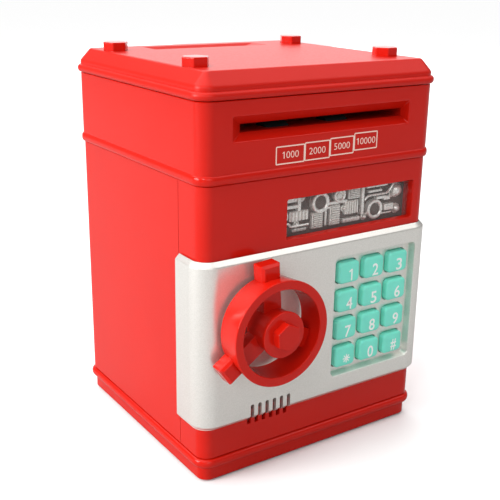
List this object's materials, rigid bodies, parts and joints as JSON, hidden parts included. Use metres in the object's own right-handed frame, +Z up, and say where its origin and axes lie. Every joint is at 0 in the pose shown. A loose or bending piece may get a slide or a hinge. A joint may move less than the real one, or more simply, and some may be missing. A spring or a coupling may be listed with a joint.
{
  "type": "toy safe coin bank",
  "caption": "Toy safe money bank with a handwheel door, push-button keypad, motor-fed banknote slot, display window and coin slot in the lid.",
  "frame": {"origin": "centre of the bounding box's bottom, on the surface the bank stands on", "axes": "+Z up, the door and the handwheel face -Y, +X to the right seen from the front"},
  "size_m": [0.1318, 0.1446, 0.187],
  "materials": {
    "red_abs": "glossy moulded red ABS",
    "silver_lacquer": "silver metallic lacquer on ABS",
    "mint_keys": "satin mint green keys",
    "steel": "plain turned and pressed steel",
    "black_plastic": "black moulded plastic",
    "black_rubber": "black rubber",
    "white_plastic": "natural white acetal",
    "silicone_mat": "milky silicone",
    "circuit_board": "green circuit board",
    "clear_lens": "clear polystyrene",
    "plated_relief": "vacuum-plated relief",
    "cell_wrap": "printed cell wrap with no marks"
  },
  "bodies": {
    "cabinet": {"base_pan": "red_abs", "battery_cover": "red_abs", "rear_shell": "red_abs", "front_frame": "red_abs", "upper_shell": "red_abs", "lid": "red_abs", "bill_guide": "red_abs", "lid_bolt_cap_front_left": "red_abs", "foot_front_left": "black_rubber", "lid_bolt_cap_front_right": "red_abs", "foot_front_right": "black_rubber", "lid_bolt_cap_rear_left": "red_abs", "foot_rear_left": "black_rubber", "lid_bolt_cap_rear_right": "red_abs", "foot_rear_right": "black_rubber", "battery_cover_screw": "steel", "feed_motor": "steel", "hinge_pin": "steel", "speaker": "black_plastic", "vault_floor": "black_plastic", "mechanism_deck": "black_plastic", "coin_chute": "white_plastic", "main_board": "circuit_board", "window_lens": "clear_lens", "machinery_relief": "plated_relief", "battery_1": "cell_wrap", "battery_2": "cell_wrap", "battery_3": "cell_wrap"},
    "door": {"door_skin": "silver_lacquer", "door_inner_cover": "red_abs", "key_mat": "silicone_mat", "keypad_board": "circuit_board", "lock_solenoid": "steel"},
    "wheel": {"handwheel": "red_abs", "wheel_hub_cap": "red_abs", "wheel_spindle": "steel", "latch_cam": "steel", "lock_disc": "white_plastic"},
    "plunger": {"solenoid_plunger": "steel"},
    "feed_drive": {"feed_shaft": "steel", "feed_roller_left": "black_rubber", "feed_roller_right": "black_rubber", "feed_shaft_gear": "white_plastic"},
    "idler": {"idler_roller": "black_rubber"},
    "reduction": {"reduction_gear": "white_plastic"},
    "pinion": {"motor_pinion": "steel"},
    "key_1_body": {"key_1": "mint_keys"},
    "key_2_body": {"key_2": "mint_keys"},
    "key_3_body": {"key_3": "mint_keys"},
    "key_4_body": {"key_4": "mint_keys"},
    "key_5_body": {"key_5": "mint_keys"},
    "key_6_body": {"key_6": "mint_keys"},
    "key_7_body": {"key_7": "mint_keys"},
    "key_8_body": {"key_8": "mint_keys"},
    "key_9_body": {"key_9": "mint_keys"},
    "key_star_body": {"key_star": "mint_keys"},
    "key_0_body": {"key_0": "mint_keys"},
    "key_hash_body": {"key_hash": "mint_keys"}
  },
  "joints": [
    {"name": "door_hinge", "type": "hinge", "parent": "cabinet", "child": "door", "pos_m": [0.0642, -0.02915, 0.066], "axis": [0, 0, 1], "range_deg": [0, 100]},
    {"name": "wheel_turn", "type": "hinge", "parent": "door", "child": "wheel", "pos_m": [-0.0342, -0.05925, 0.0741], "axis": [0, 1, 0], "range_deg": [-90, 0]},
    {"name": "lock_plunger", "type": "slide", "parent": "door", "child": "plunger", "axis": [0, 0, 1], "range_m": [0, 0.003]},
    {"name": "feed_turn", "type": "hinge", "parent": "cabinet", "child": "feed_drive", "pos_m": [0, -0.03325, 0.1533], "axis": [1, 0, 0], "continuous": true},
    {"name": "idler_turn", "type": "hinge", "parent": "cabinet", "child": "idler", "pos_m": [0, -0.03325, 0.1643], "axis": [1, 0, 0], "continuous": true},
    {"name": "reduction_turn", "type": "hinge", "parent": "cabinet", "child": "reduction", "pos_m": [0.053, -0.02434, 0.16221], "axis": [1, 0, 0], "continuous": true},
    {"name": "pinion_turn", "type": "hinge", "parent": "cabinet", "child": "pinion", "pos_m": [0.053, -0.01474, 0.16966], "axis": [1, 0, 0], "continuous": true},
    {"name": "key_1_press", "type": "slide", "parent": "door", "child": "key_1_body", "axis": [0, 1, 0], "range_m": [0, 0.001], "stiffness_N_per_m": 300},
    {"name": "key_2_press", "type": "slide", "parent": "door", "child": "key_2_body", "axis": [0, 1, 0], "range_m": [0, 0.001], "stiffness_N_per_m": 300},
    {"name": "key_3_press", "type": "slide", "parent": "door", "child": "key_3_body", "axis": [0, 1, 0], "range_m": [0, 0.001], "stiffness_N_per_m": 300},
    {"name": "key_4_press", "type": "slide", "parent": "door", "child": "key_4_body", "axis": [0, 1, 0], "range_m": [0, 0.001], "stiffness_N_per_m": 300},
    {"name": "key_5_press", "type": "slide", "parent": "door", "child": "key_5_body", "axis": [0, 1, 0], "range_m": [0, 0.001], "stiffness_N_per_m": 300},
    {"name": "key_6_press", "type": "slide", "parent": "door", "child": "key_6_body", "axis": [0, 1, 0], "range_m": [0, 0.001], "stiffness_N_per_m": 300},
    {"name": "key_7_press", "type": "slide", "parent": "door", "child": "key_7_body", "axis": [0, 1, 0], "range_m": [0, 0.001], "stiffness_N_per_m": 300},
    {"name": "key_8_press", "type": "slide", "parent": "door", "child": "key_8_body", "axis": [0, 1, 0], "range_m": [0, 0.001], "stiffness_N_per_m": 300},
    {"name": "key_9_press", "type": "slide", "parent": "door", "child": "key_9_body", "axis": [0, 1, 0], "range_m": [0, 0.001], "stiffness_N_per_m": 300},
    {"name": "key_star_press", "type": "slide", "parent": "door", "child": "key_star_body", "axis": [0, 1, 0], "range_m": [0, 0.001], "stiffness_N_per_m": 300},
    {"name": "key_0_press", "type": "slide", "parent": "door", "child": "key_0_body", "axis": [0, 1, 0], "range_m": [0, 0.001], "stiffness_N_per_m": 300},
    {"name": "key_hash_press", "type": "slide", "parent": "door", "child": "key_hash_body", "axis": [0, 1, 0], "range_m": [0, 0.001], "stiffness_N_per_m": 300}
  ],
  "couplings": [
    {"joint": "idler_turn", "follows": "feed_turn", "ratio": -1},
    {"joint": "reduction_turn", "follows": "feed_turn", "ratio": -2.5},
    {"joint": "pinion_turn", "follows": "feed_turn", "ratio": 8.75}
  ]
}
